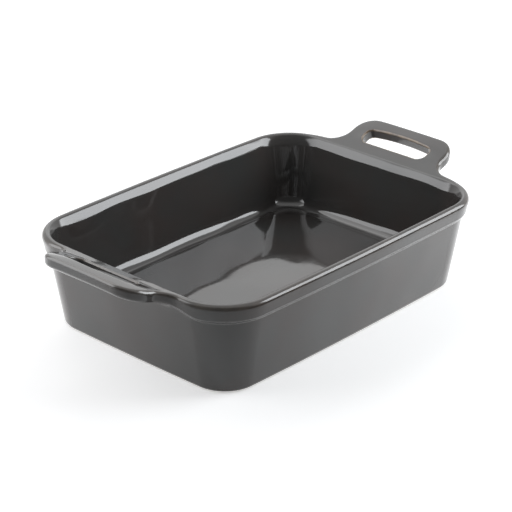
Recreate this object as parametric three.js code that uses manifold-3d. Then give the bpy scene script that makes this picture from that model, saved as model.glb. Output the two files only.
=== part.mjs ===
// A rectangular stoneware baking dish with a slotted handle at each end, glazed inside and out.
// Millimetres, +Z up. The origin is on the table under the middle of the dish.
// The long sides run along X, and the handles point along -X and +X.
// Sizes are over the glaze. A "skin" is a depth below that finished surface.
import * as THREE from "three";
import { mergeVertices } from "three/addons/utils/BufferGeometryUtils.js";
import Module from "manifold-3d";

// Rim outline, seen from above: four bowed sides joined by round corners
const RIM_LENGTH = 354;
const RIM_WIDTH = 256.6;
const LONG_SIDE_RADIUS = 5110;
const SHORT_SIDE_RADIUS = 4120;
const CORNER_RADIUS = 49.3;
const LEAST_CORNER_RADIUS = 4;

// Wall section: a drafted wall under a rim band that stands proud of it
const RIM_HEIGHT = 88.8;
const WALL_DRAFT = THREE.MathUtils.degToRad(9.5);
const WALL_THICKNESS = 8;
const RIM_EDGE_RADIUS = 2.8;
const CREST_RADIUS = 5;
const CREST_TURN = THREE.MathUtils.degToRad(50);
const BAND_HEIGHT = 13;
const BAND_STEP = 2.9;
const BAND_STEP_HEIGHT = 6.5;

// Floor and foot: the floor is raised on a foot ring
const FLOOR_THICKNESS = 9;
const FLOOR_FILLET_RADIUS = 12;
const RECESS_DEPTH = 9.5;
const RECESS_DRAFT = THREE.MathUtils.degToRad(30);
const FOOT_WIDTH = 10;
const FOOT_EDGE_RADIUS = 5;

// Handles: a tilted slotted plate that leaves the rim at a tangent, with an arched grip beyond the slot
const HANDLE_TILT = THREE.MathUtils.degToRad(18.5);
const HANDLE_WIDTH = 115;
const HANDLE_THICKNESS = 11.4;
const HANDLE_EDGE_RADIUS = 3;
const HANDLE_CORNER_RADIUS = 20;
const GRIP_WIDTH = 15.3;
const GRIP_ARCH = 4.9;
const FRONT_ARCH = 1.7;
const ARCH_RUN_OUT = 3;
const NECK_RADIUS = 16;
const NECK_RUN_OUT = 14;
const SLOT_SETBACK = 7.1;
const SLOT_LENGTH = 76;
const SLOT_WIDTH = 17.9;
const SLOT_BOW = 2;
const SLOT_CORNER_RADIUS = 8;
const LEAST_FLAT = 0.5;

// Glaze, and the clearances between fired layers
const GLAZE_THICKNESS = 0.6;
const BOND_GAP = 0.1;
const JOINT_GAP = 0.3;

// Facets
const SIDE_STEPS = 2;
const CORNER_STEPS = 10;
const SECTION_STEPS = 3;
const PLATE_STEPS = 5;
const EDGE_STEPS = 3;
const BARE_FOOT_STEPS = 1;
const MERGE_DISTANCE = 1e-4;

const CLAY_SKIN = GLAZE_THICKNESS + BOND_GAP;
const FLOOR_HEIGHT = RECESS_DEPTH + FLOOR_THICKNESS;

const wasm = await Module();
wasm.setup();

const STONEWARE = new THREE.MeshStandardMaterial({ color: 0xb8a890, roughness: 0.85, metalness: 0 });
const GLAZE = new THREE.MeshStandardMaterial({ color: 0x4c4c4b, roughness: 0.12, metalness: 0 });

// A solid for joining and cutting, from a closed geometry.
function solidOf(geometry) {
  const bare = new THREE.BufferGeometry();
  const loose = geometry.index ? geometry.toNonIndexed() : geometry;
  bare.setAttribute("position", loose.getAttribute("position"));
  const merged = mergeVertices(bare, MERGE_DISTANCE);
  const vertProperties = merged.attributes.position.array;
  const triVerts = new Uint32Array(merged.index.array);
  return new wasm.Manifold(new wasm.Mesh({ numProp: 3, vertProperties, triVerts }));
}

function meshOf(name, solid, material) {
  const { vertProperties, triVerts } = solid.getMesh();
  const geometry = new THREE.BufferGeometry();
  geometry.setAttribute("position", new THREE.BufferAttribute(vertProperties, 3));
  geometry.setIndex(new THREE.BufferAttribute(triVerts, 1));
  const mesh = new THREE.Mesh(geometry, material);
  mesh.name = name;
  return mesh;
}

// The rim outline moved inwards by an inset, as points in order, anticlockwise from the +X end.
function outline(inset) {
  const cornerRadius = Math.max(CORNER_RADIUS - inset, LEAST_CORNER_RADIUS);
  const longRadius = LONG_SIDE_RADIUS - inset;
  const shortRadius = SHORT_SIDE_RADIUS - inset;
  const longCentre = new THREE.Vector2(0, RIM_WIDTH / 2 - LONG_SIDE_RADIUS);
  const shortCentre = new THREE.Vector2(RIM_LENGTH / 2 - SHORT_SIDE_RADIUS, 0);

  // The corner's centre is where it touches both sides: two circles about the sides' centres.
  const toLong = longRadius - cornerRadius;
  const toShort = shortRadius - cornerRadius;
  const between = shortCentre.clone().sub(longCentre);
  const apart = between.length();
  const along = (toLong ** 2 - toShort ** 2 + apart ** 2) / (2 * apart);
  const across = Math.sqrt(toLong ** 2 - along ** 2);
  const forward = between.divideScalar(apart);
  const sideways = new THREE.Vector2(forward.y, -forward.x);
  const corner = longCentre.clone().addScaledVector(forward, along).addScaledVector(sideways, across);

  const shortEnd = corner.clone().sub(shortCentre).angle();
  const longEnd = corner.clone().sub(longCentre).angle();
  const half = Math.PI;
  const arcs = [
    [shortCentre.x, 0, shortRadius, -shortEnd, shortEnd, SIDE_STEPS],
    [corner.x, corner.y, cornerRadius, shortEnd, longEnd, CORNER_STEPS],
    [0, longCentre.y, longRadius, longEnd, half - longEnd, SIDE_STEPS],
    [-corner.x, corner.y, cornerRadius, half - longEnd, half - shortEnd, CORNER_STEPS],
    [-shortCentre.x, 0, shortRadius, half - shortEnd, half + shortEnd, SIDE_STEPS],
    [-corner.x, -corner.y, cornerRadius, half + shortEnd, half + longEnd, CORNER_STEPS],
    [0, -longCentre.y, longRadius, half + longEnd, 2 * half - longEnd, SIDE_STEPS],
    [corner.x, -corner.y, cornerRadius, 2 * half - longEnd, 2 * half - shortEnd, CORNER_STEPS],
  ];
  return arcs.flatMap(([x, y, radius, from, to, steps]) =>
    new THREE.EllipseCurve(x, y, radius, radius, from, to).getPoints(steps).slice(0, -1));
}

// Insets of the finished outside and inside faces at a height.
const draftSlope = Math.tan(WALL_DRAFT);
const edgeDrop = RIM_EDGE_RADIUS * (1 + Math.sin(WALL_DRAFT));
const edgeInset = RIM_EDGE_RADIUS * (1 - Math.cos(WALL_DRAFT));
const bandInset = (z) => edgeInset + (RIM_HEIGHT - edgeDrop - z) * draftSlope;
const outerInset = (z) => bandInset(z) + BAND_STEP;
const innerInset = (z) => outerInset(z) + WALL_THICKNESS / Math.cos(WALL_DRAFT);

// The lip turns over the crest in a tight arc, then runs down in a wide one to meet the inside wall.
const CREST_INSET = RIM_EDGE_RADIUS;
const LIP_START = Math.PI / 2 - CREST_TURN;
const crestReach = CREST_INSET + CREST_RADIUS * Math.cos(LIP_START);
const crestFall = CREST_RADIUS * (1 - Math.sin(LIP_START));
const lipFall = Math.sin(LIP_START) - Math.sin(WALL_DRAFT);
const lipSpread = Math.cos(WALL_DRAFT) - Math.cos(LIP_START) - lipFall * draftSlope;
const LIP_RADIUS = (innerInset(RIM_HEIGHT - crestFall) - crestReach) / lipSpread;

// The outside of the section, as (inset, height) from the table up to the crest.
function outerSection(skin) {
  const shift = skin / Math.cos(WALL_DRAFT);
  const tangent = Math.PI + WALL_DRAFT;
  const footTop = FOOT_EDGE_RADIUS * (1 - Math.sin(WALL_DRAFT));
  const footInset = outerInset(footTop) + shift + FOOT_EDGE_RADIUS * Math.cos(WALL_DRAFT);
  const bandFoot = RIM_HEIGHT - BAND_HEIGHT;
  const wallTop = bandFoot - BAND_STEP_HEIGHT;
  const middle = (bandFoot + wallTop) / 2;
  const path = new THREE.Path();
  path.absarc(footInset, FOOT_EDGE_RADIUS, FOOT_EDGE_RADIUS, 1.5 * Math.PI, tangent, true);
  path.lineTo(outerInset(wallTop) + shift, wallTop);
  path.bezierCurveTo(
    outerInset(middle) + shift, middle,
    bandInset(middle) + shift, middle,
    bandInset(bandFoot) + shift, bandFoot);
  path.absarc(
    CREST_INSET, RIM_HEIGHT - RIM_EDGE_RADIUS, RIM_EDGE_RADIUS - skin, tangent, 0.5 * Math.PI, true);
  return path.getPoints(SECTION_STEPS);
}

// The inside of the section, from the crest down to the edge of the flat floor.
function innerSection(skin) {
  const filletCentre = FLOOR_HEIGHT + FLOOR_FILLET_RADIUS;
  const filletTop = filletCentre - FLOOR_FILLET_RADIUS * Math.sin(WALL_DRAFT);
  const filletInset = innerInset(filletTop) + FLOOR_FILLET_RADIUS * Math.cos(WALL_DRAFT);
  const crest = RIM_HEIGHT - CREST_RADIUS;
  const back = LIP_RADIUS - CREST_RADIUS;
  const lipX = CREST_INSET - back * Math.cos(LIP_START);
  const lipY = crest - back * Math.sin(LIP_START);
  const path = new THREE.Path();
  path.absarc(CREST_INSET, crest, CREST_RADIUS - skin, 0.5 * Math.PI, LIP_START, true);
  path.absarc(lipX, lipY, LIP_RADIUS - skin, LIP_START, WALL_DRAFT, true);
  path.absarc(
    filletInset, filletCentre, FLOOR_FILLET_RADIUS + skin, Math.PI + WALL_DRAFT, 1.5 * Math.PI, false);
  const points = path.getPoints(SECTION_STEPS);
  return points.filter((point, i) => i === 0 || point.distanceTo(points[i - 1]) > MERGE_DISTANCE);
}

// A solid through rings of the outline, one for each section point, closed flat at both ends.
function loft(section) {
  const rings = section.map((point) => outline(point.x));
  const count = rings[0].length;
  const positions = rings.flatMap((ring, i) => ring.flatMap((p) => [p.x, p.y, section[i].y]));
  const index = [];
  for (let i = 0; i + 1 < rings.length; i++) {
    for (let j = 0; j < count; j++) {
      const a = i * count + j;
      const b = i * count + ((j + 1) % count);
      index.push(a, b, b + count, a, b + count, a + count);
    }
  }
  const top = (rings.length - 1) * count;
  for (const [a, b, c] of THREE.ShapeUtils.triangulateShape(rings[0], [])) {
    index.push(a, c, b);
  }
  for (const [a, b, c] of THREE.ShapeUtils.triangulateShape(rings.at(-1), [])) {
    index.push(top + a, top + b, top + c);
  }
  const geometry = new THREE.BufferGeometry();
  geometry.setAttribute("position", new THREE.Float32BufferAttribute(positions, 3));
  geometry.setIndex(index);
  return solidOf(geometry);
}

// Clay body: from the recess under the floor, over the foot and the rim, to the floor inside.
function basin() {
  const outside = outerSection(CLAY_SKIN);
  const footInner = outside[0].x + FOOT_WIDTH;
  const recess = [
    new THREE.Vector2(footInner + RECESS_DEPTH * Math.tan(RECESS_DRAFT), RECESS_DEPTH),
    new THREE.Vector2(footInner, 0),
  ];
  const inside = innerSection(CLAY_SKIN);
  return loft([...recess, ...outside, ...inside.slice(1)]);
}

// The dish as if it were filled to the crest, for cutting and coating what meets its outside.
function filledDish(skin, firstStep) {
  return loft(outerSection(skin).slice(firstStep));
}

// A plug over the mouth, inside the crest line, which keeps the outside pieces off the inside ones.
function crestPlug(clearance) {
  const shape = new THREE.Shape(outline(CREST_INSET - clearance));
  const geometry = new THREE.ExtrudeGeometry(shape, { depth: RIM_HEIGHT, bevelEnabled: false });
  geometry.translate(0, 0, RIM_HEIGHT - RIM_EDGE_RADIUS);
  return solidOf(geometry);
}

// The plate's plane touches the crest arc where the arc has the plate's slope.
const TOUCH_INSET = CREST_INSET + CREST_RADIUS * Math.sin(HANDLE_TILT);
const TOUCH_HEIGHT = RIM_HEIGHT - CREST_RADIUS * (1 - Math.cos(HANDLE_TILT));
const EDGE_X = RIM_LENGTH / 2;
const TOUCH_X = EDGE_X - TOUCH_INSET;
const SLOT_X = EDGE_X + SLOT_SETBACK;
const GRIP_X = SLOT_X + SLOT_WIDTH;
const FRONT_X = GRIP_X + GRIP_WIDTH;

// Height of the +X plate's upper face. Beyond the slot the grip arches up in the middle.
function plateHeight(x, y) {
  const plane = TOUCH_HEIGHT + (x - TOUCH_X) * Math.tan(HANDLE_TILT);
  const rise = GRIP_ARCH * THREE.MathUtils.smoothstep(x, SLOT_X - ARCH_RUN_OUT, GRIP_X);
  const fall = (GRIP_ARCH - FRONT_ARCH) * THREE.MathUtils.smoothstep(x, GRIP_X, FRONT_X);
  const share = Math.min(Math.abs(y) / (HANDLE_WIDTH / 2), 1);
  return plane + (rise - fall) * (1 - share ** 3);
}

// The slot seen from above. Its outer side bows out.
function slotHole() {
  const r = Math.min(SLOT_CORNER_RADIUS, (SLOT_WIDTH - SLOT_BOW - LEAST_FLAT) / 2);
  const low = SLOT_X + r;
  const corner = GRIP_X - SLOT_BOW;
  const high = corner - r;
  const side = SLOT_LENGTH / 2 - r;
  const quarter = Math.PI / 2;
  const hole = new THREE.Path();
  hole.absarc(low, -side, r, 2 * quarter, 3 * quarter, false);
  hole.absarc(high, -side, r, 3 * quarter, 4 * quarter, false);
  hole.quadraticCurveTo(corner + 2 * SLOT_BOW, 0, corner, side);
  hole.absarc(high, side, r, 0, quarter, false);
  hole.absarc(low, side, r, quarter, 2 * quarter, false);
  return hole;
}

// The handle seen from above, from well inside the rim to its outer edge.
function handleShape() {
  const most = (FRONT_X - EDGE_X - LEAST_FLAT) / 2;
  const neckRadius = Math.min(NECK_RADIUS, most);
  const r = Math.min(HANDLE_CORNER_RADIUS, most);
  const half = HANDLE_WIDTH / 2;
  const neck = half + neckRadius;
  const end = neck + NECK_RUN_OUT;
  const quarter = Math.PI / 2;
  const shape = new THREE.Shape();
  shape.moveTo(TOUCH_X, -end);
  shape.quadraticCurveTo(EDGE_X, (-end - neck) / 2, EDGE_X, -neck);
  shape.absarc(EDGE_X + neckRadius, -neck, neckRadius, 2 * quarter, quarter, true);
  shape.absarc(FRONT_X - r, r - half, r, -quarter, 0, false);
  shape.quadraticCurveTo(FRONT_X, 0, FRONT_X, half - r);
  shape.absarc(FRONT_X - r, half - r, r, 0, quarter, false);
  shape.absarc(EDGE_X + neckRadius, neck, neckRadius, -quarter, -2 * quarter, true);
  shape.quadraticCurveTo(EDGE_X, (end + neck) / 2, TOUCH_X, end);
  shape.lineTo(TOUCH_X - WALL_THICKNESS, end);
  shape.lineTo(TOUCH_X - WALL_THICKNESS, -end);
  return shape;
}

// One handle plate in its place, at a skin below its finished surface. turn is 0 at +X.
// It is a level slab with round edges, down from height 0, that is then bent up to its height.
function handlePlate(skin, turn) {
  const radius = HANDLE_EDGE_RADIUS;
  const shape = handleShape();
  shape.holes.push(slotHole());
  const geometry = new THREE.ExtrudeGeometry(shape, {
    depth: HANDLE_THICKNESS - 2 * radius,
    bevelThickness: radius - skin,
    bevelSize: radius - skin,
    bevelOffset: -radius,
    bevelSegments: EDGE_STEPS,
    curveSegments: PLATE_STEPS,
  });
  geometry.translate(0, 0, radius - HANDLE_THICKNESS);
  const position = geometry.getAttribute("position");
  for (let i = 0; i < position.count; i += 1) {
    position.setZ(i, position.getZ(i) + plateHeight(position.getX(i), position.getY(i)));
  }
  geometry.rotateZ(turn);
  return solidOf(geometry);
}

const RIGHT = 0;
const LEFT = Math.PI;

function handle(turn) {
  const clearOfWall = filledDish(CLAY_SKIN - JOINT_GAP, 0);
  return handlePlate(CLAY_SKIN, turn).subtract(clearOfWall).subtract(crestPlug(JOINT_GAP));
}

// Glaze inside: from the crest down the wall and across the floor.
function interiorGlaze() {
  const back = innerSection(GLAZE_THICKNESS).reverse();
  return loft([...back, ...innerSection(0)]);
}

// Glaze outside: one coat over the wall, the rim band and both handles, down to the bare foot.
function exteriorGlaze() {
  const coated = (skin, firstStep) =>
    filledDish(skin, firstStep).add(handlePlate(skin, RIGHT)).add(handlePlate(skin, LEFT));
  const core = coated(GLAZE_THICKNESS, 0).add(crestPlug(BOND_GAP));
  return coated(0, BARE_FOOT_STEPS).subtract(core);
}

const dish = new THREE.Group();
dish.name = "baking_dish";
dish.add(
  meshOf("basin", basin(), STONEWARE),
  meshOf("left_handle", handle(LEFT), STONEWARE),
  meshOf("right_handle", handle(RIGHT), STONEWARE),
  meshOf("interior_glaze", interiorGlaze(), GLAZE),
  meshOf("exterior_glaze", exteriorGlaze(), GLAZE),
);

export default dish;
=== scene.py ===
"""A rectangular stoneware baking dish in a charcoal gloss glaze, with a slotted handle at each end."""

import math

import bmesh
import bpy
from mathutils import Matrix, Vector


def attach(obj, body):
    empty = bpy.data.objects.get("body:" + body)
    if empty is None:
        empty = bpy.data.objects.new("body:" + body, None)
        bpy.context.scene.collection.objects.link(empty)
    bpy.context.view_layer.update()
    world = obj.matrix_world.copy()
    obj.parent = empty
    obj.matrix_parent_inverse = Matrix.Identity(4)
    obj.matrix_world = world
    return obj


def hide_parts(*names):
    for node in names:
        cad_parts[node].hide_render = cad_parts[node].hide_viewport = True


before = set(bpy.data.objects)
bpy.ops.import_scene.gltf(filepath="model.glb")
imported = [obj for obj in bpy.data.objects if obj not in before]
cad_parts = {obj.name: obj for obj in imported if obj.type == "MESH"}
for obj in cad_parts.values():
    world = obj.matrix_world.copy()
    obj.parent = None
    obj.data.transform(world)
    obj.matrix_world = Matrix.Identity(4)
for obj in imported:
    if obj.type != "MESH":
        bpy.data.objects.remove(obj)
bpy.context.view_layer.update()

bl_info = {
    "name": "Glazed Baking Dish",
    "version": (1, 0, 0),
    "blender": (4, 5, 0),
    "location": "View3D > Sidebar > Baking Dish",
    "description": "Builds a rectangular glazed stoneware baking dish and its studio",
    "category": "Add Mesh",
}

BODY = "root"
MM = 0.001
WELD = 0.02 * MM

# A height that no row of the section is under
UNDER_TABLE = -1
# A face looks straight down where its normal's height is under this
DOWNWARD = -0.99

# How far the glaze sags in the floor's fillet, as a share of the most it does below the lip
FILLET_SAG = 0.5
# How thin it breaks on the rim's outer edge and on the edges of the two slots, where 1 is the thinnest
# The right slot's edges get more tan than the left's: partly glaze breaking, partly a painted highlight.
RIM_THIN, LEFT_SLOT_THIN, RIGHT_SLOT_THIN_AND_HIGHLIGHT = 0.1, 0.2, 1
SLOT_EDGE_STEPS = 6

# The photo's camera, in millimetres for the sensor and lens, and the level direction that it looks in
SENSOR_WIDTH, LENS = 36, 134.48
CAMERA_PLACE = (-1.15762, -1.07019, 0.78186)
CAMERA_AIM = (0.010494, 0.014621, 0.035)
AHEAD = (0.73, 0.68, 0)

# The white floor, and the black card beside the front of the rim
FLOOR_SIZE = 12
CARD_PLACE = (0.09, -0.195, 0.091)
CARD_LENGTH, CARD_HEIGHT = 0.48, 0.042


def linear(hex_colour):
    """Scene-linear red, green and blue of an sRGB hex colour."""
    channels = [int(hex_colour[i : i + 2], 16) / 255 for i in (1, 3, 5)]
    return tuple(c / 12.92 if c <= 0.04045 else ((c + 0.055) / 1.055) ** 2.4 for c in channels)


def length(name, description, millimetres):
    """A size in metres, from millimetres, that shows in the scene's unit."""
    return bpy.props.FloatProperty(
        name=name, description=description, default=millimetres * MM, min=0, precision=4, unit="LENGTH"
    )


def angle(name, description, degrees):
    """An angle in radians, from degrees, that shows in the scene's unit."""
    return bpy.props.FloatProperty(
        name=name, description=description, default=math.radians(degrees), precision=3, unit="ROTATION"
    )


def colour(name, description, hex_colour):
    """A scene-linear colour from an sRGB hex colour."""
    return bpy.props.FloatVectorProperty(
        name=name, description=description, default=linear(hex_colour), subtype="COLOR", min=0, max=1
    )


class DishSizes(bpy.types.PropertyGroup):
    """Sizes of the dish over its glaze"""

    rim_length: length("Rim length", "Length over the rim, without the handles", 354)
    rim_width: length("Rim width", "Width over the rim", 256.56)
    long_side_radius: length("Long side radius", "Radius of the slight bow of the long sides", 5110)
    short_side_radius: length("Short side radius", "Radius of the slight bow of the short sides", 4120)
    corner_radius: length("Corner radius", "Radius of the rim's corners, seen from above", 49.3)
    rim_height: length("Rim height", "Height of the rim's crest above the table", 88.8)
    wall_draft: angle("Wall draft", "How far the walls lean out", 9.5)
    wall_thickness: length("Wall thickness", "Thickness of the walls, square to them", 8)
    rim_edge_radius: length("Rim edge radius", "Rounding of the rim's outer edge", 4.6)
    crest_radius: length("Crest radius", "Rounding from the crest into the lip", 4)
    crest_turn: angle("Crest turn", "How far that rounding turns before the lip runs down to the wall", 50)
    band_height: length("Band height", "Height of the rim band below the crest", 13)
    band_step: length("Band step", "How far the rim band stands proud of the wall", 2.9)
    band_step_height: length("Band step height", "Height over which the band runs back into the wall", 6.5)
    floor_height: length("Floor height", "Height of the inside floor above the table", 18.5)
    floor_fillet: length("Floor fillet", "Radius between the floor and the inside walls", 12)
    foot_edge_radius: length("Foot edge radius", "Rounding where the wall turns under", 5)
    foot_width: length("Foot width", "Width of the bare foot ring", 10)
    recess_depth: length("Recess depth", "Height of the recess inside the foot ring", 9.5)
    recess_draft: angle("Recess draft", "Lean of the recess's wall", 30)
    bare_height: length("Bare height", "Height of the foot that is wiped clean of glaze", 0.9)
    glaze_thickness: length("Glaze thickness", "Thickness of the fired glaze", 0.6)
    bond_gap: length("Bond gap", "Space kept between clay and glaze", 0.1)


class HandleSizes(bpy.types.PropertyGroup):
    """Sizes of the handles over their glaze"""

    tilt: angle("Tilt", "How steeply the handle rises from the rim", 18.5)
    width: length("Width", "Width of the handle across its grip", 115)
    thickness: length("Thickness", "Upright thickness of the handle's plate", 11.4)
    edge_radius: length("Edge radius", "Rounding of the handle's outer edges", 4)
    corner_radius: length("Corner radius", "Radius of the grip's corners, seen from above", 20)
    neck_radius: length("Neck radius", "Radius where the handle runs into the rim", 16)
    grip_width: length("Grip width", "Width of the grip outside the slot", 15.3)
    grip_arch: length("Grip arch", "How far the grip arches up beside the slot", 2.35)
    front_arch: length("Front arch", "How far the grip arches up at its front edge", 1.45)
    arch_run_out: length("Arch run-out", "How far inside the slot's near side the arch starts", 3)
    slot_setback: length("Slot setback", "Distance from the rim's edge to the slot", 7.1)
    slot_length: length("Slot length", "Length of the finger slot", 76)
    slot_width: length("Slot width", "Width of the finger slot at its middle", 17.9)
    slot_bow: length("Slot bow", "How far the slot's outer side bows out", 2)
    slot_corner_radius: length("Slot corner radius", "Radius of the slot's corners next to the rim", 7.7)
    slot_outer_radius: length("Slot outer radius", "Radius of the slot's corners next to the grip", 5)
    slot_edge_radius: length("Slot edge radius", "Rounding of the slot's edges", 1.8)


class DishLook(bpy.types.PropertyGroup):
    """Colours of the dish and its studio"""

    glaze: colour("Glaze", "Main colour of the glaze", "#424241")
    glaze_warm: colour("Warm glaze", "Colour where the glaze runs warm", "#443f3d")
    # Tan of thin glaze on edges, also used as a painted highlight on the right slot's edges.
    glaze_thin_and_highlight: colour("Thin glaze", "Colour where the glaze breaks over an edge", "#a08b76")
    clay: colour("Clay", "Colour of the bare fired clay", "#b9a88e")
    clay_fleck: colour("Clay fleck", "Colour of the iron flecks in the clay", "#7b5f45")
    floor: colour("Floor", "Colour of the studio floor", "#f4f4f4")
    card: colour("Card", "Colour of the studio's black card", "#0a0a0a")


def arc(centre, radius, start, end, steps):
    """Points on an arc in (inset, height), without its first point."""
    turns = [start + (end - start) * i / steps for i in range(1, steps + 1)]
    return [(centre[0] + radius * math.cos(t), centre[1] + radius * math.sin(t)) for t in turns]


def line(start, end, steps):
    """Points on a straight line in (inset, height), without its first point."""
    shares = [i / steps for i in range(1, steps + 1)]
    return [(start[0] + (end[0] - start[0]) * s, start[1] + (end[1] - start[1]) * s) for s in shares]


def smooth(value):
    """An S-shaped ramp from 0 to 1."""
    value = min(max(value, 0), 1)
    return value * value * (3 - 2 * value)


class Section:
    """The dish's wall section, from the floor over the rim to the foot.

    Each row is a point of it, as (inset from the rim's edge, height).
    """

    # Width of the ring of flat floor next to the fillet
    FLOOR_EDGE = 3 * MM
    FLOOR_FILLET_STEPS, WALL_STEPS, LIP_STEPS, CREST_STEPS, FOOT_STEPS = 14, 4, 9, 6, 8
    # Rows of a handle: before its slot, beside it, across the grip, under the plate and in its fillet
    NEAR_ROWS, SLOT_ROWS, BAR_ROWS, UNDER_ROWS, FILLET_ROWS = 4, 6, 4, 1, 6
    # Rows of its edge: the upper rounding, the upright side and the lower rounding
    EDGE_STEPS, SIDE_STEPS, STEP_STEPS = 8, 3, 6

    def __init__(self, dish, handle):
        self.dish, self.handle = dish, handle
        self.crest = dish.rim_edge_radius
        self.lip_start = math.pi / 2 - dish.crest_turn
        self.lip_radius = self.fit_lip()
        self.rows, self.at = [], {}
        self.draw()

    def band(self, height):
        """Inset of the rim band's face at a height."""
        edge, draft = self.dish.rim_edge_radius, self.dish.wall_draft
        top = self.dish.rim_height - edge * (1 + math.sin(draft))
        return edge * (1 - math.cos(draft)) + (top - height) * math.tan(draft)

    def outer(self, height):
        """Inset of the outside wall at a height."""
        return self.band(height) + self.dish.band_step

    def inner(self, height):
        """Inset of the inside wall at a height."""
        return self.outer(height) + self.dish.wall_thickness / math.cos(self.dish.wall_draft)

    def fit_lip(self):
        """Radius of the lip, which leaves the crest's rounding and touches the inside wall."""
        dish, draft, start = self.dish, self.dish.wall_draft, self.lip_start
        reach = self.crest + dish.crest_radius * math.cos(start)
        fall = dish.crest_radius * (1 - math.sin(start))
        spread = math.cos(draft) - math.cos(start)
        spread -= (math.sin(start) - math.sin(draft)) * math.tan(draft)
        return (self.inner(dish.rim_height - fall) - reach) / spread

    def mark(self, name):
        """Names the last row drawn."""
        self.at[name] = len(self.rows) - 1

    def draw(self):
        """Draws the rows, and names those that the handles and the glaze's thickness start from."""
        dish, draft, quarter = self.dish, self.dish.wall_draft, math.pi / 2
        fillet = dish.floor_fillet
        fillet_top = dish.floor_height + fillet * (1 - math.sin(draft))
        fillet_centre = (self.inner(fillet_top) + fillet * math.cos(draft), dish.floor_height + fillet)
        crest_centre = (self.crest, dish.rim_height - dish.crest_radius)
        back = self.lip_radius - dish.crest_radius
        lip_centre = (
            crest_centre[0] - back * math.cos(self.lip_start),
            crest_centre[1] - back * math.sin(self.lip_start),
        )
        edge_centre = (self.crest, dish.rim_height - dish.rim_edge_radius)
        foot = dish.foot_edge_radius
        foot_top = foot * (1 - math.sin(draft))
        foot_centre = (self.outer(foot_top) + foot * math.cos(draft), foot)
        lip_end = (
            lip_centre[0] + self.lip_radius * math.cos(draft),
            lip_centre[1] + self.lip_radius * math.sin(draft),
        )

        floor_edge = (fillet_centre[0] + self.FLOOR_EDGE, dish.floor_height)
        self.rows = [floor_edge, (fillet_centre[0], dish.floor_height)]
        self.mark("floor")
        turned = 2 * quarter + draft
        self.rows += arc(fillet_centre, fillet, 3 * quarter, turned, self.FLOOR_FILLET_STEPS)
        self.mark("fillet")
        self.rows += line(self.rows[-1], lip_end, self.WALL_STEPS)
        self.mark("lip")
        self.rows += arc(lip_centre, self.lip_radius, draft, self.lip_start, self.LIP_STEPS)
        touch = quarter - self.handle.tilt
        self.rows += arc(crest_centre, dish.crest_radius, self.lip_start, touch, self.CREST_STEPS)
        self.mark("touch")
        plate_rows = self.NEAR_ROWS + self.SLOT_ROWS + self.BAR_ROWS
        self.rows += arc(crest_centre, dish.crest_radius, touch, quarter, plate_rows)
        self.mark("crest")
        self.rows += arc(edge_centre, dish.rim_edge_radius, quarter, turned, self.EDGE_STEPS)
        self.mark("edge")
        band_foot = dish.rim_height - dish.band_height
        self.rows += line(self.rows[-1], (self.band(band_foot), band_foot), self.SIDE_STEPS)
        wall_top = band_foot - dish.band_step_height
        middle = (band_foot + wall_top) / 2
        points = [
            Vector((self.band(band_foot), band_foot)),
            Vector((self.band(middle), middle)),
            Vector((self.outer(middle), middle)),
            Vector((self.outer(wall_top), wall_top)),
        ]
        count = self.STEP_STEPS + self.BAR_ROWS + self.SLOT_ROWS + self.UNDER_ROWS + self.FILLET_ROWS
        for i in range(1, count + 1):
            t = i / count
            a, b, c = (p.lerp(q, t) for p, q in zip(points, points[1:]))
            self.rows.append(tuple(a.lerp(b, t).lerp(b.lerp(c, t), t)))
            if i == self.STEP_STEPS:
                self.mark("step")
        self.mark("wall")
        self.rows += line(self.rows[-1], (self.outer(foot_top), foot_top), self.WALL_STEPS)
        self.rows += arc(foot_centre, foot, turned, 3 * quarter, self.FOOT_STEPS)

    def until(self, height):
        """The rows down to a height on the foot, where the glaze stops."""
        last = max(i for i, row in enumerate(self.rows) if i < self.at["wall"] or row[1] > height)
        return self.rows[: last + 1]


class Plan:
    """The rim seen from above: a quarter of it is two slightly bowed sides about a round corner."""

    SHORT_COLUMNS, CORNER_COLUMNS, LONG_COLUMNS = 44, 26, 10

    def __init__(self, dish):
        self.dish = dish
        self.long_centre = Vector((0, dish.rim_width / 2 - dish.long_side_radius))
        self.short_centre = Vector((dish.rim_length / 2 - dish.short_side_radius, 0))
        to_long = dish.long_side_radius - dish.corner_radius
        to_short = dish.short_side_radius - dish.corner_radius
        between = self.short_centre - self.long_centre
        apart = between.length
        along = (to_long**2 - to_short**2 + apart**2) / (2 * apart)
        across = math.sqrt(to_long**2 - along**2)
        forward = between / apart
        self.corner = self.long_centre + forward * along + Vector((forward.y, -forward.x)) * across
        to_corner = self.corner - self.short_centre
        self.short_turn = math.atan2(to_corner.y, to_corner.x)
        from_long = self.corner - self.long_centre
        self.long_turn = math.atan2(from_long.y, from_long.x)

    def column(self, point):
        """The number of the section nearest to a point, counted from the middle of the short side."""
        turn = math.atan2(point.y - self.short_centre.y, point.x - self.short_centre.x)
        if turn < self.short_turn * (1 - 0.5 / self.SHORT_COLUMNS):
            return round(self.SHORT_COLUMNS * turn / self.short_turn)
        turn = math.atan2(point.y - self.corner.y, point.x - self.corner.x)
        share = (turn - self.short_turn) / (self.long_turn - self.short_turn)
        if share < 1 - 0.5 / self.CORNER_COLUMNS:
            return self.SHORT_COLUMNS + round(self.CORNER_COLUMNS * share)
        turn = math.atan2(point.y - self.long_centre.y, point.x - self.long_centre.x)
        share = (turn - self.long_turn) / (math.pi / 2 - self.long_turn)
        return self.SHORT_COLUMNS + self.CORNER_COLUMNS + round(self.LONG_COLUMNS * share)

    def travel(self, column):
        """Distance along the rim from the middle of the short side to a section before the long side."""
        side = self.short_turn * self.dish.short_side_radius
        if column <= self.SHORT_COLUMNS:
            return side * column / self.SHORT_COLUMNS
        bend = (self.long_turn - self.short_turn) * self.dish.corner_radius
        return side + bend * (column - self.SHORT_COLUMNS) / self.CORNER_COLUMNS


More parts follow.
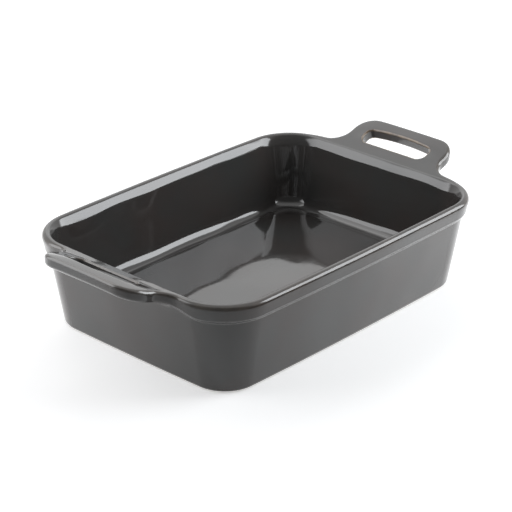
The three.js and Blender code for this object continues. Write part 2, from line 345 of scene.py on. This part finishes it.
class Grip:
    """The +X handle: a plate that leaves the lip at a tangent, with a slot and an arched grip beyond it.

    A place is a point seen from above. A column is one of the rim's sections, drawn out over the plate.
    """

    # Distances along the rim, from the middle of the short side, where each stretch of the outline ends
    FRONT, CORNER, SIDE, NECK = 30 * MM, 46 * MM, 50 * MM, 70 * MM
    # Where the handle starts to run back into the plain rim, and where it has done so
    BLEND_START, BLEND_END = 58 * MM, 94 * MM
    # The column at the slot's end, and the distance past it over which columns straighten
    SLOT_COLUMN, FADE = 18, 30 * MM
    # The fillet under the plate, and the most of the room there that it and the lower edge take
    FILLET, FILLET_SHARE, UNDER_SHARE = 4.5 * MM, 0.6, 0.55

    def __init__(self, section, plan):
        handle = section.handle
        self.section, self.plan, self.handle = section, plan, handle
        self.rise = math.tan(handle.tilt)
        self.edge_x = section.dish.rim_length / 2
        self.slot_x = self.edge_x + handle.slot_setback
        self.grip_x = self.slot_x + handle.slot_width
        self.front_x = self.grip_x + handle.grip_width
        self.slot_lean = handle.thickness * math.sin(handle.tilt) * math.cos(handle.tilt)

    def share(self, travel):
        """How far a section belongs to the handle: 1 across the grip, and 0 on the plain rim."""
        return smooth((self.BLEND_END - travel) / (self.BLEND_END - self.BLEND_START))

    def outline(self, travel):
        """The outline's place and its outward direction there, for a section of the rim."""
        handle, half = self.handle, self.handle.width / 2
        r, neck = handle.corner_radius, handle.neck_radius
        quarter = math.pi / 2
        if travel < self.FRONT:
            return Vector((self.front_x, (half - r) * travel / self.FRONT)), Vector((1, 0))
        if travel < self.CORNER:
            turn = quarter * (travel - self.FRONT) / (self.CORNER - self.FRONT)
            way = Vector((math.cos(turn), math.sin(turn)))
            return Vector((self.front_x - r, half - r)) + way * r, way
        low = self.edge_x + neck
        if travel < self.SIDE:
            share = (travel - self.CORNER) / (self.SIDE - self.CORNER)
            high = self.front_x - r
            return Vector((high + (low - high) * share, half)), Vector((0, 1))
        if travel < self.NECK:
            turn = quarter * (travel - self.SIDE) / (self.NECK - self.SIDE)
            way = Vector((math.sin(turn), math.cos(turn)))
            return Vector((low, half + neck)) - way * neck, way
        share = (travel - self.NECK) / (self.BLEND_END - self.NECK)
        return Vector((self.edge_x, half + neck + share * (self.BLEND_END - half - neck))), Vector((1, 0))

    def slot_side(self, share, outer):
        """A place on a long side of the slot, from its middle to the middle of its rounded corner."""
        handle = self.handle
        r = handle.slot_outer_radius if outer else handle.slot_corner_radius
        straight = handle.slot_length / 2 - r
        run = share * (straight + r * math.pi / 4)
        turn = max(run - straight, 0) / r
        run = min(run, straight)
        inwards, y = r * (1 - math.cos(turn)), run + r * math.sin(turn)
        if not outer:
            return Vector((self.slot_x + inwards, y))
        return Vector((self.grip_x - handle.slot_bow * (run / straight) ** 2 - inwards, y))

    def slot_end(self, share):
        """A place on the end of the slot, from the middle of its near corner to that of its outer one."""
        handle, end = self.handle, self.handle.slot_length / 2
        near, far = handle.slot_corner_radius, handle.slot_outer_radius
        low, high = self.slot_x + near, self.grip_x - handle.slot_bow - far
        eighth = math.pi / 4
        run = share * (near * eighth + high - low + far * eighth) - near * eighth
        if run < 0:
            turn = -run / near
            return Vector((low - near * math.sin(turn), end - near * (1 - math.cos(turn))))
        turn = max(run - (high - low), 0) / far
        return Vector((low + min(run, high - low) + far * math.sin(turn), end - far * (1 - math.cos(turn))))

    def arch(self, place):
        """How far the grip's arch lifts the plate at a place. It runs out towards the grip's ends."""
        handle = self.handle
        start = self.slot_x - handle.arch_run_out
        rise = handle.grip_arch * smooth((place.x - start) / (self.grip_x - start))
        fall = (handle.grip_arch - handle.front_arch) * smooth((place.x - self.grip_x) / handle.grip_width)
        return (rise - fall) * (1 - min(abs(place.y) * 2 / handle.width, 1) ** 3)

    def lift(self, place, touch, depth=0):
        """The point at a place and a depth below the plate's upper face, which starts at a touch point."""
        height = touch.z + (place.x - touch.x) * self.rise + self.arch(place)
        return Vector((place.x, place.y, height - depth))

    def meeting(self, column, plain):
        """Where the underside meets the wall, with the sizes of the fillet there and of the lower edge."""
        touch, wall = plain[self.section.at["touch"]], plain[self.section.at["wall"]]
        lean = math.tan(self.section.dish.wall_draft)
        level = touch.z - self.handle.thickness + (wall.x - wall.z * lean - touch.x) * self.rise
        height = level / (1 - lean * self.rise)
        meet = Vector((wall.x + (height - wall.z) * lean, wall.y, height))
        room = self.outline(self.plan.travel(column))[0].x - meet.x
        under = min(self.handle.edge_radius, self.UNDER_SHARE * room)
        return meet, min(self.FILLET, self.FILLET_SHARE * max(room - under, 0)), under

    def places(self, column, grid, below):
        """Places along a column from the rim to the edge's rounding, beside the slot or past its end."""
        section, last = self.section, self.SLOT_COLUMN
        edge, way = self.outline(self.plan.travel(column))
        near_rows = section.UNDER_ROWS if below else section.NEAR_ROWS
        if below:
            meet, fillet, under = self.meeting(column, grid[column])
            inner, outer = meet.xy + Vector((fillet, 0)), edge - way * under
        else:
            inner, outer = grid[column][section.at["touch"]].xy, edge - way * self.handle.edge_radius
        if column <= last:
            lean = Vector((self.slot_lean if below else 0, 0))
            near = self.slot_side(column / last, False) + lean
            far = self.slot_side(column / last, True) + lean
            shares = [i / section.SLOT_ROWS for i in range(section.SLOT_ROWS + 1)]
            across = [self.slot_end(s) + lean if column == last else near.lerp(far, s) for s in shares]
            before = [inner.lerp(near, i / near_rows) for i in range(near_rows)]
            bar = [far.lerp(outer, i / section.BAR_ROWS) for i in range(1, section.BAR_ROWS + 1)]
            return before + across + bar
        home = self.places(last, grid, below)
        runs = [0]
        for here, there in zip(home, home[1:]):
            runs.append(runs[-1] + (there - here).length)
        fade = 1 - smooth((self.plan.travel(column) - self.plan.travel(last)) / self.FADE)
        bends = [place - home[0].lerp(home[-1], run / runs[-1]) for place, run in zip(home, runs)]
        return [inner.lerp(outer, run / runs[-1]) + bend * fade for bend, run in zip(bends, runs)]

    def drawn(self, column, grid):
        """Where a column's rows go on the handle, from the touch row to the wall row."""
        section, at, plain = self.section, self.section.at, grid[column]
        touch, wall = plain[at["touch"]], plain[at["wall"]]
        edge, way = self.outline(self.plan.travel(column))
        meet, fillet, under = self.meeting(column, plain)
        r, thickness = self.handle.edge_radius, self.handle.thickness
        points = [self.lift(place, touch) for place in self.places(column, grid, False)]
        for i in range(1, section.EDGE_STEPS + 1):
            turn = math.pi / 2 * i / section.EDGE_STEPS
            points.append(self.lift(edge - way * r * (1 - math.sin(turn)), touch, r * (1 - math.cos(turn))))
        for i in range(1, section.SIDE_STEPS + 1):
            points.append(self.lift(edge, touch, r + (thickness - under - r) * i / section.SIDE_STEPS))
        for i in range(1, section.STEP_STEPS + 1):
            turn = math.pi / 2 * i / section.STEP_STEPS
            depth = thickness - under * (1 - math.sin(turn))
            points.append(self.lift(edge - way * under * (1 - math.cos(turn)), touch, depth))
        points += [self.lift(place, touch, thickness) for place in self.places(column, grid, True)[-2::-1]]
        start = points[-1]
        for i in range(1, section.FILLET_ROWS + 1):
            share = i / section.FILLET_ROWS
            points.append(start.lerp(meet, share).lerp(meet.lerp(wall, share), share))
        return dict(enumerate(points, at["touch"]))


def only(obj):
    """Makes an object the only one selected, and the active one."""
    bpy.ops.object.select_all(action="DESELECT")
    obj.select_set(True)
    bpy.context.view_layer.objects.active = obj


def edit(obj, mode="VERT"):
    """Opens an object in edit mode with nothing selected, and returns its mesh data there."""
    only(obj)
    bpy.ops.object.mode_set(mode="EDIT")
    bpy.ops.mesh.select_mode(type=mode)
    bpy.ops.mesh.select_all(action="DESELECT")
    return bmesh.from_edit_mesh(obj.data)


def choose(obj, kind, test):
    """Selects the vertices, edges or faces of an object in edit mode that pass a test."""
    mesh = bmesh.from_edit_mesh(obj.data)
    bpy.ops.mesh.select_all(action="DESELECT")
    for item in getattr(mesh, kind):
        if test(item):
            item.select_set(True)
    mesh.select_flush_mode()
    bmesh.update_edit_mesh(obj.data)


def leave_edit():
    """Goes back to object mode."""
    bpy.ops.object.mode_set(mode="OBJECT")


def apply_modifier(obj, kind, **settings):
    """Adds a modifier with its settings, and applies it."""
    only(obj)
    modifier = obj.modifiers.new(kind.title(), kind)
    for name, value in settings.items():
        setattr(modifier, name, value)
    bpy.ops.object.modifier_apply(modifier=modifier.name)


def spin_quarter(name, section, plan, rows):
    """A quarter of the dish: the section drawn at the middle of the short side, and spun along the rim."""
    start = Vector((section.dish.rim_length / 2, 0, 0))
    places = [start + Vector((-inset, 0, height)) for inset, height in rows]
    bpy.ops.object.select_all(action="DESELECT")
    bpy.ops.mesh.primitive_plane_add(size=MM)
    obj = bpy.context.object
    obj.name = obj.data.name = name
    bpy.ops.object.mode_set(mode="EDIT")
    bpy.ops.mesh.select_mode(type="VERT")
    bpy.ops.mesh.merge(type="CENTER")
    bpy.ops.transform.translate(value=places[0])
    for here, there in zip(places, places[1:]):
        bpy.ops.mesh.extrude_region_move(TRANSFORM_OT_translate={"value": there - here})
    leave_edit()

    number = obj.data.attributes.new("row", "INT", "POINT")
    for vertex in obj.data.vertices:
        gaps = [(vertex.co - place).length for place in places]
        number.data[vertex.index].value = gaps.index(min(gaps))

    edit(obj)
    bpy.ops.mesh.select_all(action="SELECT")
    spins = [
        (plan.short_centre, plan.short_turn, plan.SHORT_COLUMNS),
        (plan.corner, plan.long_turn - plan.short_turn, plan.CORNER_COLUMNS),
        (plan.long_centre, math.pi / 2 - plan.long_turn, plan.LONG_COLUMNS),
    ]
    for centre, turn, steps in spins:
        bpy.ops.mesh.spin(steps=steps, angle=turn, center=(centre.x, centre.y, 0), axis=(0, 0, -1))
    bpy.ops.mesh.select_all(action="SELECT")
    bpy.ops.mesh.remove_doubles(threshold=WELD)
    leave_edit()
    return obj


def draw_out_handle(obj, section, plan, grip):
    """Draws the rim's rows out into half a handle, which runs back into the rim, and opens its slot.

    Point attributes say where the glaze breaks thin, and where it sags: below the lip and in the fillet.
    """
    at, mesh = section.at, obj.data
    thin = mesh.attributes.new("thin_glaze", "FLOAT", "POINT")
    sag = mesh.attributes.new("sagging_glaze", "FLOAT", "POINT")
    slot = mesh.attributes.new("slot", "INT", "FACE")
    rows = [item.value for item in mesh.attributes["row"].data]
    columns = [plan.column(vertex.co) for vertex in mesh.vertices]
    grid, cells = {}, {}
    for vertex in mesh.vertices:
        row, column = rows[vertex.index], columns[vertex.index]
        grid.setdefault(column, {})[row] = vertex.co.copy()
        cells.setdefault(column, {})[row] = vertex

    mouths = (at["touch"] + section.NEAR_ROWS, at["step"] + section.BAR_ROWS)
    for face in mesh.polygons:
        low, high = min(rows[i] for i in face.vertices), max(rows[i] for i in face.vertices)
        in_mouth = any(first <= low and high <= first + section.SLOT_ROWS for first in mouths)
        beside = max(columns[i] for i in face.vertices) <= grip.SLOT_COLUMN
        slot.data[face.index].value = int(in_mouth and beside)

    for column in grid:
        share = grip.share(plan.travel(column))
        for row in range(at["floor"] + 1, at["fillet"]):
            sag.data[cells[column][row].index].value = FILLET_SAG
        for row in range(at["lip"], at["touch"]):
            sag.data[cells[column][row].index].value = (at["touch"] - row) / (at["touch"] - at["lip"])
        for row in range(at["crest"], at["edge"] + 1):
            swell = math.sin(math.pi * (row - at["crest"]) / section.EDGE_STEPS)
            thin.data[cells[column][row].index].value = swell * RIM_THIN
        if share > 0:
            drawn = grip.drawn(column, grid)
            for row in range(at["touch"] + 1, at["wall"]):
                cells[column][row].co = grid[column][row].lerp(drawn[row], share)

    layers = edit(obj, "FACE").faces.layers
    choose(obj, "faces", lambda face: face[layers.int["slot"]] == 1)
    bpy.ops.mesh.delete(type="FACE")
    leave_edit()


def wall_slots(obj, grip):
    """Marks both mouths of each slot, and joins them with walls that stand square to the plate."""
    for side in (-1, 1):
        edit(obj, "EDGE")
        choose(obj, "edges", lambda edge: edge.is_boundary and edge.verts[0].co.x * side > grip.edge_x)
        bpy.ops.mesh.mark_seam()
        bpy.ops.mesh.bridge_edge_loops()
        leave_edit()


def round_slots(obj, grip):
    """Rounds the marked edges of each slot's mouths, where the glaze breaks thin. The tan on the right
    slot's edges is also a painted highlight.
    """
    edit(obj, "EDGE")
    choose(obj, "edges", lambda edge: edge.seam)
    radius = grip.handle.slot_edge_radius
    bpy.ops.mesh.bevel(offset=radius, segments=SLOT_EDGE_STEPS, affect="EDGES", clamp_overlap=False)
    mesh = bmesh.from_edit_mesh(obj.data)
    thin = mesh.verts.layers.float["thin_glaze"]
    for vertex in mesh.verts:
        if vertex.select:
            within = all(face.select for face in vertex.link_faces)
            # Tan on the right slot's edges is partly glaze breaking, partly a painted highlight.
            vertex[thin] = within * (RIGHT_SLOT_THIN_AND_HIGHLIGHT if vertex.co.x > 0 else LEFT_SLOT_THIN)
    bmesh.update_edit_mesh(obj.data)
    bpy.ops.mesh.select_all(action="SELECT")
    bpy.ops.mesh.mark_seam(clear=True)
    leave_edit()


def dish_form(name, dish, handle, down_to):
    """The closed outer form of the glazed dish, down to a height on the foot."""
    section = Section(dish, handle)
    plan = Plan(dish)
    grip = Grip(section, plan)
    rows = section.until(down_to)
    obj = spin_quarter(name, section, plan, rows)
    draw_out_handle(obj, section, plan, grip)
    apply_modifier(obj, "MIRROR", use_axis=(True, True, False), merge_threshold=WELD, use_clip=True)

    floor, foot = rows[0][1], rows[-1][1]
    for height in (floor, foot):
        edit(obj, "EDGE")
        choose(obj, "edges", lambda edge: edge.is_boundary and abs(edge.verts[0].co.z - height) < WELD)
        bpy.ops.mesh.edge_face_add()
        leave_edit()
    wall_slots(obj, grip)
    edit(obj)
    bpy.ops.mesh.select_all(action="SELECT")
    bpy.ops.mesh.normals_make_consistent(inside=False)
    leave_edit()
    round_slots(obj, grip)
    return obj


def finish_piece(obj, material, nodes):
    """Shades a piece by its larger faces, gives it its finish, and lets it stand for its CAD nodes."""
    only(obj)
    bpy.ops.object.shade_smooth()
    apply_modifier(obj, "WEIGHTED_NORMAL")
    obj.data.materials.clear()
    obj.data.materials.append(material)
    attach(obj, BODY)
    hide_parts(*nodes)


def add_node(tree, kind, inputs=None, **settings):
    """Adds a node with its settings. An input is a value, or the output that feeds it."""
    node = tree.nodes.new(kind)
    for name, value in settings.items():
        setattr(node, name, value)
    for name, value in (inputs or {}).items():
        socket = node.inputs[name]
        if isinstance(value, bpy.types.NodeSocket):
            tree.links.new(value, socket)
        else:
            socket.default_value = value
    return node


def new_material(name):
    """A material with an empty node tree."""
    material = bpy.data.materials.new(name)
    material.use_nodes = True
    material.node_tree.nodes.clear()
    return material


def charcoal_gloss_glaze(look):
    """Charcoal stoneware glaze, dipped and fired to a gloss.

    It is a dark glass: the colour is charcoal, and most of what the eye sees is the room mirrored in it.
    It pools and runs, which waves the mirror image, most of all where it sags: below the lip and in the
    fillet. It breaks to tan and loses some of its gloss where it is thin on an edge; on the right slot's
    edges that tan is also a painted highlight.
    """
    pool_size, patch_size, grain_size, run_size, peel_size = 60 * MM, 11 * MM, 4 * MM, 50 * MM, 3 * MM
    run_height, peel_height = 5 * MM, 0.004 * MM
    thin_roughness = 0.18
    material = new_material("charcoal_gloss_glaze")
    tree = material.node_tree
    place = add_node(tree, "ShaderNodeTexCoord").outputs["Object"]

    pools = add_node(tree, "ShaderNodeTexNoise", {"Vector": place, "Scale": 1 / pool_size, "Detail": 2.0})
    pooled = add_node(
        tree, "ShaderNodeMapRange", {"Value": pools.outputs["Fac"], "From Min": 0.35, "From Max": 0.65}
    )
    body = add_node(
        tree,
        "ShaderNodeMix",
        {"Factor": pooled.outputs["Result"], 6: (*look.glaze, 1), 7: (*look.glaze_warm, 1)},
        data_type="RGBA",
    )
    # Where the glaze breaks thin to tan; on the right slot's edges this tan is partly a painted highlight.
    breaks = add_node(tree, "ShaderNodeAttribute", attribute_name="thin_glaze")
    patches = add_node(
        tree, "ShaderNodeTexNoise", {"Vector": place, "Scale": 1 / patch_size, "Detail": 3.0}
    )
    patchy = add_node(
        tree,
        "ShaderNodeMapRange",
        {"Value": patches.outputs["Fac"], "From Min": 0.3, "From Max": 0.6, "To Min": 0.35, "To Max": 1.0},
    )
    thin = add_node(
        tree,
        "ShaderNodeMath",
        {0: breaks.outputs["Fac"], 1: patchy.outputs["Result"]},
        operation="MULTIPLY",
    )
    colours = add_node(
        tree,
        "ShaderNodeMix",
        {"Factor": thin.outputs["Value"], 6: body.outputs[2], 7: (*look.glaze_thin_and_highlight, 1)},
        data_type="RGBA",
    )

    grain = add_node(tree, "ShaderNodeTexNoise", {"Vector": place, "Scale": 1 / grain_size, "Detail": 2.0})
    gloss = add_node(
        tree,
        "ShaderNodeMapRange",
        {"Value": grain.outputs["Fac"], "From Min": 0.3, "From Max": 0.7, "To Min": 0.03, "To Max": 0.07},
    )
    dulled = add_node(
        tree,
        "ShaderNodeMath",
        {0: thin.outputs["Value"], 1: thin_roughness, 2: gloss.outputs["Result"]},
        operation="MULTIPLY_ADD",
    )

    runs = add_node(tree, "ShaderNodeTexNoise", {"Vector": place, "Scale": 1 / run_size, "Detail": 0.0})
    sags = add_node(tree, "ShaderNodeAttribute", attribute_name="sagging_glaze")
    wavy = add_node(
        tree, "ShaderNodeMapRange", {"Value": sags.outputs["Fac"], "To Min": 0.3, "To Max": 1.0}
    )
    waved = add_node(
        tree,
        "ShaderNodeBump",
        {"Height": runs.outputs["Fac"], "Strength": wavy.outputs["Result"], "Distance": run_height},
    )
    peel = add_node(tree, "ShaderNodeTexNoise", {"Vector": place, "Scale": 1 / peel_size, "Detail": 1.0})
    skin = add_node(
        tree,
        "ShaderNodeBump",
        {
            "Height": peel.outputs["Fac"],
            "Strength": 1.0,
            "Distance": peel_height,
            "Normal": waved.outputs["Normal"],
        },
    )
    shader = add_node(
        tree,
        "ShaderNodeBsdfPrincipled",
        {
            "Base Color": colours.outputs[2],
            "Roughness": dulled.outputs["Value"],
            "IOR": 1.65,
            "Normal": skin.outputs["Normal"],
        },
    )
    add_node(tree, "ShaderNodeOutputMaterial", {"Surface": shader.outputs["BSDF"]})
    return material


def fired_buff_stoneware(look):
    """Buff stoneware clay, fired and left bare on the foot.

    It is dry and matt, with a fine grit that roughens it and iron flecks that fired brown.
    """
    fleck_size, grit_size, grit_height = 2.2 * MM, 1.2 * MM, 0.15 * MM
    material = new_material("fired_buff_stoneware")
    tree = material.node_tree
    place = add_node(tree, "ShaderNodeTexCoord").outputs["Object"]
    flecks = add_node(tree, "ShaderNodeTexNoise", {"Vector": place, "Scale": 1 / fleck_size, "Detail": 3.0})
    flecked = add_node(
        tree, "ShaderNodeMapRange", {"Value": flecks.outputs["Fac"], "From Min": 0.56, "From Max": 0.72}
    )
    colours = add_node(
        tree,
        "ShaderNodeMix",
        {"Factor": flecked.outputs["Result"], 6: (*look.clay, 1), 7: (*look.clay_fleck, 1)},
        data_type="RGBA",
    )
    grit = add_node(tree, "ShaderNodeTexNoise", {"Vector": place, "Scale": 1 / grit_size, "Detail": 4.0})
    rough = add_node(
        tree, "ShaderNodeMapRange", {"Value": grit.outputs["Fac"], "To Min": 0.72, "To Max": 0.95}
    )
    bump = add_node(
        tree, "ShaderNodeBump", {"Height": grit.outputs["Fac"], "Strength": 0.8, "Distance": grit_height}
    )
    shader = add_node(
        tree,
        "ShaderNodeBsdfPrincipled",
        {
            "Base Color": colours.outputs[2],
            "Roughness": rough.outputs["Result"],
            "IOR": 1.5,
            "Normal": bump.outputs["Normal"],
        },
    )
    add_node(tree, "ShaderNodeOutputMaterial", {"Surface": shader.outputs["BSDF"]})
    return material


class DISH_OT_stoneware_body(bpy.types.Operator):
    """Build the clay body with its handles, and the recess inside its foot ring"""

    bl_idname = "dish.stoneware_body"
    bl_label = "Stoneware Body"

    def execute(self, context):
        dish, handle = context.scene.dish_sizes, context.scene.handle_sizes
        obj = dish_form("stoneware_body", dish, handle, UNDER_TABLE)
        edit(obj)
        bpy.ops.mesh.select_all(action="SELECT")
        under = dish.glaze_thickness + dish.bond_gap
        bpy.ops.transform.shrink_fatten(value=-under, use_even_offset=True)

        choose(obj, "verts", lambda vertex: vertex.co.z < under + WELD)
        bpy.ops.transform.translate(value=(0, 0, -under))
        bpy.ops.mesh.select_mode(type="FACE")
        choose(obj, "faces", lambda face: face.normal.z < DOWNWARD and face.calc_center_median().z < WELD)
        bpy.ops.mesh.inset(thickness=dish.foot_width)
        lean = dish.recess_depth * math.tan(dish.recess_draft)
        bpy.ops.mesh.inset(thickness=lean, depth=-dish.recess_depth)
        leave_edit()
        finish_piece(
            obj,
            fired_buff_stoneware(context.scene.dish_look),
            ("basin", "left_handle", "right_handle"),
        )
        return {"FINISHED"}


class DISH_OT_glaze_coat(bpy.types.Operator):
    """Build the glaze that coats the dish inside and out, down to the bare foot"""

    bl_idname = "dish.glaze_coat"
    bl_label = "Glaze Coat"

    def execute(self, context):
        dish, handle = context.scene.dish_sizes, context.scene.handle_sizes
        obj = dish_form("glaze_coat", dish, handle, dish.bare_height)
        edit(obj, "FACE")
        cap = dish.bare_height + MM
        choose(obj, "faces", lambda face: face.normal.z < DOWNWARD and face.calc_center_median().z < cap)
        bpy.ops.mesh.delete(type="FACE")
        leave_edit()
        apply_modifier(obj, "SOLIDIFY", thickness=dish.glaze_thickness, offset=-1, use_even_offset=True)
        finish_piece(
            obj,
            charcoal_gloss_glaze(context.scene.dish_look),
            ("interior_glaze", "exterior_glaze"),
        )
        return {"FINISHED"}


def softbox(name, location, size, radiance, fade, tint=(1, 1, 1)):
    """A soft light that faces the dish. It fades out at its edges, over a share of its width and height."""
    data = bpy.data.lights.new(name, "AREA")
    data.shape, data.color = "RECTANGLE", tint
    data.size, data.size_y = size
    data.energy = radiance * math.pi * size[0] * size[1]
    data.use_nodes = True
    tree = data.node_tree
    tree.nodes.clear()
    place = add_node(tree, "ShaderNodeNewGeometry").outputs["Parametric"]
    axes = add_node(tree, "ShaderNodeSeparateXYZ", {0: place})
    sides = []
    for axis, share in zip("XY", fade):
        inwards = add_node(tree, "ShaderNodeMath", {0: axes.outputs[axis], 1: 0.5}, operation="PINGPONG")
        side = add_node(
            tree,
            "ShaderNodeMapRange",
            {"Value": inwards.outputs["Value"], "From Max": share},
            interpolation_type="SMOOTHSTEP",
        )
        sides.append(side.outputs["Result"])
    glow = add_node(tree, "ShaderNodeMath", {0: sides[0], 1: sides[1]}, operation="MULTIPLY")
    emission = add_node(tree, "ShaderNodeEmission", {"Strength": glow.outputs["Value"]})
    add_node(tree, "ShaderNodeOutputLight", {"Surface": emission.outputs["Emission"]})
    obj = bpy.data.objects.new(name, data)
    obj.location = location
    obj.rotation_euler = (-obj.location).to_track_quat("-Z", "Y").to_euler()
    obj.visible_camera = False
    bpy.context.collection.objects.link(obj)


def seen(tree, direct, mirrored):
    """One value where the camera looks, another in a mirror or glass, and 0 for the light on things."""
    rays = add_node(tree, "ShaderNodeLightPath").outputs
    either = add_node(
        tree,
        "ShaderNodeMath",
        {0: rays["Is Glossy Ray"], 1: rays["Is Transmission Ray"]},
        operation="MAXIMUM",
    )
    straight = add_node(tree, "ShaderNodeMath", {0: rays["Is Camera Ray"], 1: direct}, operation="MULTIPLY")
    bounced = add_node(
        tree,
        "ShaderNodeMath",
        {0: either.outputs["Value"], 1: mirrored, 2: straight.outputs["Value"]},
        operation="MULTIPLY_ADD",
    )
    return bounced.outputs["Value"]


def matt_white_paper(look):
    """Matt white studio paper, laid as the floor.

    It keeps the dish's soft shadow, and the eye sees it run out to pure white. The glaze mirrors it as a
    pale ground that darkens towards the camera, on whose side the studio is dark.
    """
    # Metres from the dish over which the floor runs out to white, and its own glow next to the dish
    near, far, dim = 0.4, 0.9, 0.46
    # Metres ahead of the dish over which the mirrored floor goes from dark to white
    dark, pale = -0.28, 0.03
    material = new_material("matt_white_paper")
    tree = material.node_tree
    matt = add_node(tree, "ShaderNodeBsdfDiffuse", {"Color": (*look.floor, 1)})
    place = add_node(tree, "ShaderNodeTexCoord").outputs["Object"]
    reach = add_node(tree, "ShaderNodeVectorMath", {0: place}, operation="LENGTH")
    white = add_node(
        tree,
        "ShaderNodeMapRange",
        {"Value": reach.outputs["Value"], "From Min": near, "From Max": far, "To Min": dim},
    )
    ahead = add_node(tree, "ShaderNodeVectorMath", {0: place, 1: AHEAD}, operation="DOT_PRODUCT")
    bright = add_node(
        tree,
        "ShaderNodeMapRange",
        {"Value": ahead.outputs["Value"], "From Min": dark, "From Max": pale},
    )
    lift = seen(tree, white.outputs["Result"], bright.outputs["Result"])
    glow = add_node(tree, "ShaderNodeEmission", {"Strength": lift})
    both = add_node(tree, "ShaderNodeAddShader", {0: matt.outputs["BSDF"], 1: glow.outputs["Emission"]})
    add_node(tree, "ShaderNodeOutputMaterial", {"Surface": both.outputs["Shader"]})
    return material


def matt_black_card(look):
    """Black card with a matt face, which gives the eye next to no light back."""
    material = new_material("matt_black_card")
    tree = material.node_tree
    matt = add_node(tree, "ShaderNodeBsdfDiffuse", {"Color": (*look.card, 1)})
    add_node(tree, "ShaderNodeOutputMaterial", {"Surface": matt.outputs["BSDF"]})
    return material


def white_floor(context):
    """The floor that the dish stands on."""
    bpy.ops.object.select_all(action="DESELECT")
    bpy.ops.mesh.primitive_plane_add(size=FLOOR_SIZE)
    floor = context.object
    floor.name = floor.data.name = "studio_floor"
    floor.data.materials.append(matt_white_paper(context.scene.dish_look))


def white_room(scene):
    """White all round for the camera, dim for light, and in mirrors dark on the camera's side."""
    # How far ahead a direction points where the mirrored room goes from dark to white, and its light
    dark, pale, dim = -0.6, -0.1, 0.15
    world = bpy.data.worlds.new("white_room")
    world.use_nodes = True
    tree = world.node_tree
    tree.nodes.clear()
    way = add_node(tree, "ShaderNodeTexCoord").outputs["Generated"]
    ahead = add_node(tree, "ShaderNodeVectorMath", {0: way, 1: AHEAD}, operation="DOT_PRODUCT")
    bright = add_node(
        tree,
        "ShaderNodeMapRange",
        {"Value": ahead.outputs["Value"], "From Min": dark, "From Max": pale},
        interpolation_type="SMOOTHSTEP",
    )
    strength = add_node(
        tree,
        "ShaderNodeMapRange",
        {"Value": seen(tree, 1, bright.outputs["Result"]), "To Min": dim},
    )
    room = add_node(
        tree,
        "ShaderNodeBackground",
        {"Color": (1, 1, 1, 1), "Strength": strength.outputs["Result"]},
    )
    add_node(tree, "ShaderNodeOutputWorld", {"Surface": room.outputs["Background"]})
    scene.world = world


def black_card(context):
    """A card beside the front of the rim, which only mirrors show. It draws a dark line along the rim."""
    bpy.ops.object.select_all(action="DESELECT")
    bpy.ops.mesh.primitive_plane_add(size=1, location=CARD_PLACE, rotation=(math.pi / 2, 0, 0))
    card = context.object
    card.name = card.data.name = "black_card"
    card.scale = (CARD_LENGTH, CARD_HEIGHT, 1)
    card.data.materials.append(matt_black_card(context.scene.dish_look))
    card.visible_camera = card.visible_diffuse = card.visible_shadow = card.visible_transmission = False


def photo_camera(context):
    """The camera, where the photo was taken from."""
    data = bpy.data.cameras.new("camera")
    data.sensor_width, data.lens = SENSOR_WIDTH, LENS
    camera = bpy.data.objects.new("camera", data)
    camera.location = CAMERA_PLACE
    aim = Vector(CAMERA_AIM) - camera.location
    camera.rotation_euler = aim.to_track_quat("-Z", "Y").to_euler()
    context.collection.objects.link(camera)
    context.scene.camera = camera


class DISH_OT_studio(bpy.types.Operator):
    """Build the white floor and room, the soft lights, the black card and the camera"""

    bl_idname = "dish.studio"
    bl_label = "Studio"

    def execute(self, context):
        white_floor(context)
        white_room(context.scene)
        softbox(
            "right_softbox",
            location=(0.677, -0.564, 0.477),
            size=(0.76, 0.78),
            radiance=5.6,
            fade=(0.2, 0.1),
            tint=(0.94, 0.97, 1),
        )
        softbox(
            "left_softbox",
            location=(-0.54, 0.51, 0.39),
            size=(0.86, 0.82),
            radiance=2.8,
            fade=(0.25, 0.2),
            tint=(0.97, 0.98, 1),
        )
        softbox(
            "high_softbox", location=(-0.02, 0.74, 1.0), size=(1.3, 0.7), radiance=1.5, fade=(0.4, 0.2)
        )
        softbox(
            "back_softbox", location=(0.66, 0.74, 0.88), size=(1.1, 1.3), radiance=0.55, fade=(0.1, 0.1)
        )
        black_card(context)
        photo_camera(context)
        context.scene.view_settings.view_transform = "Standard"
        return {"FINISHED"}


class DISH_PT_panel(bpy.types.Panel):
    """Lists the dish's pieces, sizes and colours"""

    bl_label = "Baking Dish"
    bl_idname = "DISH_PT_panel"
    bl_space_type = "VIEW_3D"
    bl_region_type = "UI"
    bl_category = "Baking Dish"

    def draw(self, context):
        layout = self.layout
        for operator in OPERATORS:
            layout.operator(operator.bl_idname)
        for title, group in (
            ("Dish", context.scene.dish_sizes),
            ("Handles", context.scene.handle_sizes),
            ("Colours", context.scene.dish_look),
        ):
            box = layout.box()
            box.label(text=title)
            for name in group.__annotations__:
                box.prop(group, name)


GROUPS = {"dish_sizes": DishSizes, "handle_sizes": HandleSizes, "dish_look": DishLook}
OPERATORS = (DISH_OT_stoneware_body, DISH_OT_glaze_coat, DISH_OT_studio)


def register():
    """Adds the property groups, the operators and the panel to Blender."""
    for name, group in GROUPS.items():
        bpy.utils.register_class(group)
        setattr(bpy.types.Scene, name, bpy.props.PointerProperty(type=group))
    for item in (*OPERATORS, DISH_PT_panel):
        bpy.utils.register_class(item)


def unregister():
    """Takes them out again."""
    for item in (DISH_PT_panel, *reversed(OPERATORS)):
        bpy.utils.unregister_class(item)
    for name, group in GROUPS.items():
        delattr(bpy.types.Scene, name)
        bpy.utils.unregister_class(group)


def main():
    """Builds the dish and its studio."""
    register()
    bpy.ops.dish.stoneware_body()
    bpy.ops.dish.glaze_coat()
    bpy.ops.dish.studio()


if __name__ == "__main__":
    main()
